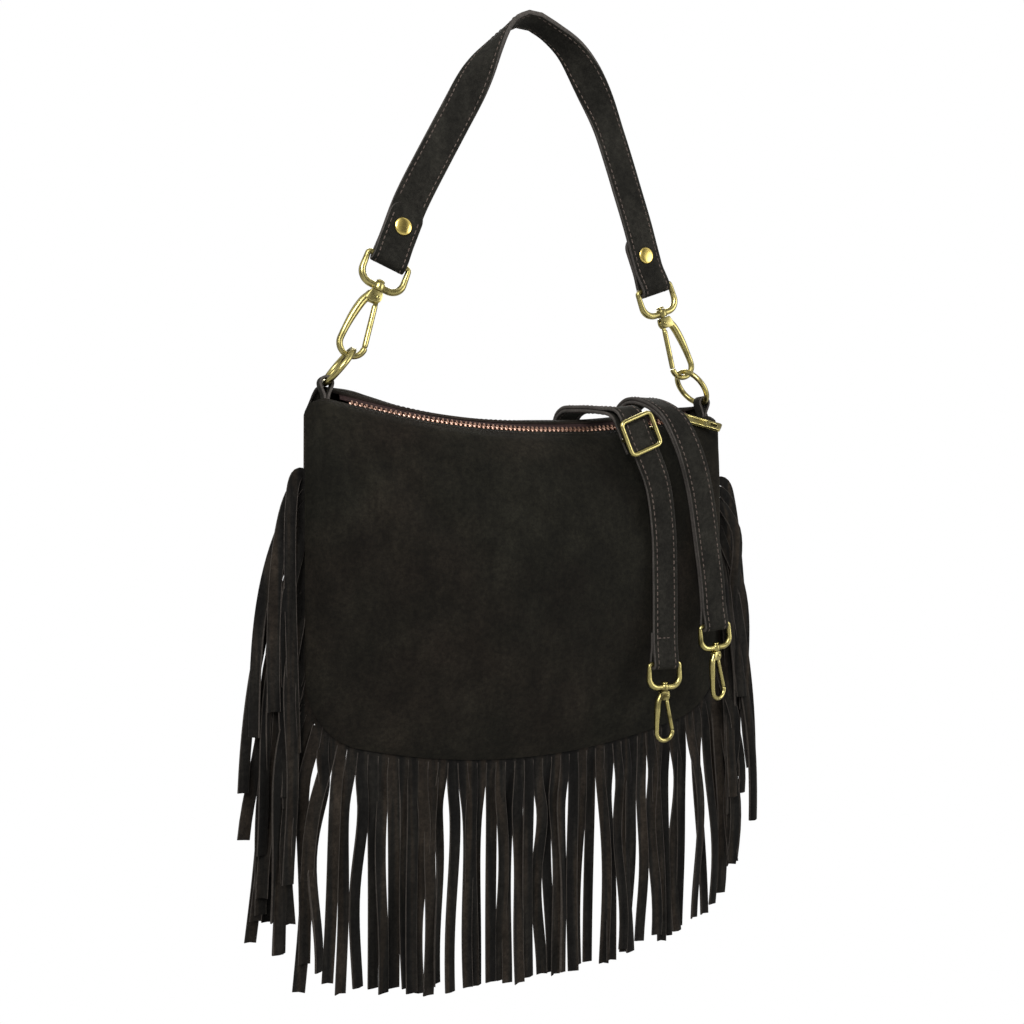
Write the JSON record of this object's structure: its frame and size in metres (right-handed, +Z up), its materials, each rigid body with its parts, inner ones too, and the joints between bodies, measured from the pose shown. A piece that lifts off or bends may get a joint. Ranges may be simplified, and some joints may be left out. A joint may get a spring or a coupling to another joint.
{
  "type": "shoulder bag",
  "caption": "Soft suede shoulder bag with a curved zip top, fringe round the sides and base, a short clip-on handle and a longer adjustable strap laid over it.",
  "frame": {"origin": "underside of the handle crown, where the bag hangs", "axes": "+Z up, +X to the right seen from the front, front towards -Y"},
  "size_m": [0.3988, 0.1157, 0.6803],
  "materials": {
    "panel_suede": "dark brown suede",
    "fringe_suede": "dark brown suede, cut strands",
    "strap_suede": "dark brown suede, stitched double",
    "zip_tape": "woven brown tape",
    "zip_teeth": "copper-toned metal",
    "antique_brass": "antique brass plating",
    "rivet_brass": "polished brass caps",
    "spring_steel": "spring wire"
  },
  "bodies": {
    "handle": {"handle_strap": "strap_suede", "left_handle_rivet": "rivet_brass", "right_handle_rivet": "rivet_brass", "left_handle_loop": "antique_brass", "right_handle_loop": "antique_brass"},
    "bag": {"front_panel": "panel_suede", "back_panel": "panel_suede", "zip_tape_front": "zip_tape", "zip_tape_back": "zip_tape", "zip_teeth_front": "zip_teeth", "zip_teeth_back": "zip_teeth", "left_tab": "strap_suede", "right_tab": "strap_suede", "left_fringe": "fringe_suede", "bottom_fringe": "fringe_suede", "right_fringe": "fringe_suede", "crossbody_strap": "strap_suede", "strap_buckle": "antique_brass"},
    "left_ring": {"left_ring": "antique_brass"},
    "right_ring": {"right_ring": "antique_brass"},
    "zip_slider": {"zip_slider": "antique_brass"},
    "zip_puller": {"zip_puller": "antique_brass"},
    "left_hook": {"left_handle_hook": "antique_brass", "left_handle_gate_pin": "antique_brass", "left_handle_gate_spring": "spring_steel"},
    "left_gate": {"left_handle_gate": "antique_brass"},
    "right_hook": {"right_handle_hook": "antique_brass", "right_handle_gate_pin": "antique_brass", "right_handle_gate_spring": "spring_steel"},
    "right_gate": {"right_handle_gate": "antique_brass"},
    "single_loop": {"single_strap_loop": "antique_brass"},
    "single_hook": {"single_strap_hook": "antique_brass", "single_strap_gate_pin": "antique_brass", "single_strap_gate_spring": "spring_steel"},
    "single_gate": {"single_strap_gate": "antique_brass"},
    "doubled_loop": {"doubled_strap_loop": "antique_brass"},
    "doubled_hook": {"doubled_strap_hook": "antique_brass", "doubled_strap_gate_pin": "antique_brass", "doubled_strap_gate_spring": "spring_steel"},
    "doubled_gate": {"doubled_strap_gate": "antique_brass"}
  },
  "joints": [
    {"name": "bag_swing", "type": "hinge", "parent": "handle", "child": "bag", "pos_m": [0, 0, -0.24343], "axis": [1, 0, 0], "range_deg": [-55, 55]},
    {"name": "left_hook_swivel", "type": "hinge", "parent": "handle", "child": "left_hook", "pos_m": [-0.11002, 0, -0.19689], "axis": [0.3584, 0, 0.9336], "range_deg": [-10, 10]},
    {"name": "left_gate_hinge", "type": "hinge", "parent": "left_hook", "child": "left_gate", "pos_m": [-0.11144, 0, -0.20449], "axis": [0, 1, 0], "range_deg": [0, 15], "stiffness_Nm_per_rad": 0.02, "springref_deg": -5.73},
    {"name": "left_ring_turn", "type": "hinge", "parent": "bag", "child": "left_ring", "pos_m": [-0.13707, 0, -0.25107], "axis": [0.788, 0, -0.6157], "continuous": true},
    {"name": "right_hook_swivel", "type": "hinge", "parent": "handle", "child": "right_hook", "pos_m": [0.11002, 0, -0.19689], "axis": [-0.3584, 0, 0.9336], "range_deg": [-10, 10]},
    {"name": "right_gate_hinge", "type": "hinge", "parent": "right_hook", "child": "right_gate", "pos_m": [0.11144, 0, -0.20449], "axis": [0, -1, 0], "range_deg": [0, 15], "stiffness_Nm_per_rad": 0.02, "springref_deg": -5.73},
    {"name": "right_ring_turn", "type": "hinge", "parent": "bag", "child": "right_ring", "pos_m": [0.13707, 0, -0.25107], "axis": [0.788, 0, 0.6157], "continuous": true},
    {"name": "zip_slide", "type": "hinge", "parent": "bag", "child": "zip_slider", "pos_m": [0, 0, 0.36989], "axis": [0, 1, 0], "range_deg": [0, 20]},
    {"name": "puller_flip", "type": "hinge", "parent": "zip_slider", "child": "zip_puller", "pos_m": [0.12063, -0.00255, -0.27314], "axis": [0.6596, 0.5481, 0.5142], "range_deg": [-95, 0]},
    {"name": "single_loop_swing", "type": "hinge", "parent": "bag", "child": "single_loop", "pos_m": [0.091, -0.0335, -0.454], "axis": [1, 0, 0], "range_deg": [-60, 5]},
    {"name": "single_hook_swivel", "type": "hinge", "parent": "single_loop", "child": "single_hook", "pos_m": [0.091, -0.0335, -0.471], "axis": [0, 0, 1], "continuous": true},
    {"name": "single_gate_hinge", "type": "hinge", "parent": "single_hook", "child": "single_gate", "pos_m": [0.09208, -0.0335, -0.47687], "axis": [0, 1, 0], "range_deg": [0, 15], "stiffness_Nm_per_rad": 0.02, "springref_deg": -5.73},
    {"name": "doubled_loop_swing", "type": "hinge", "parent": "bag", "child": "doubled_loop", "pos_m": [0.137, -0.029, -0.429], "axis": [0.9951, -0.0033, 0.0993], "range_deg": [-60, 5]},
    {"name": "doubled_hook_swivel", "type": "hinge", "parent": "doubled_loop", "child": "doubled_hook", "pos_m": [0.13869, -0.02844, -0.44591], "axis": [-0.0994, -0.0331, 0.9945], "continuous": true},
    {"name": "doubled_gate_hinge", "type": "hinge", "parent": "doubled_hook", "child": "doubled_gate", "pos_m": [0.1403, -0.02791, -0.45163], "axis": [-0.3075, 0.9516, 0.001], "range_deg": [0, 15], "stiffness_Nm_per_rad": 0.02, "springref_deg": -5.73}
  ]
}
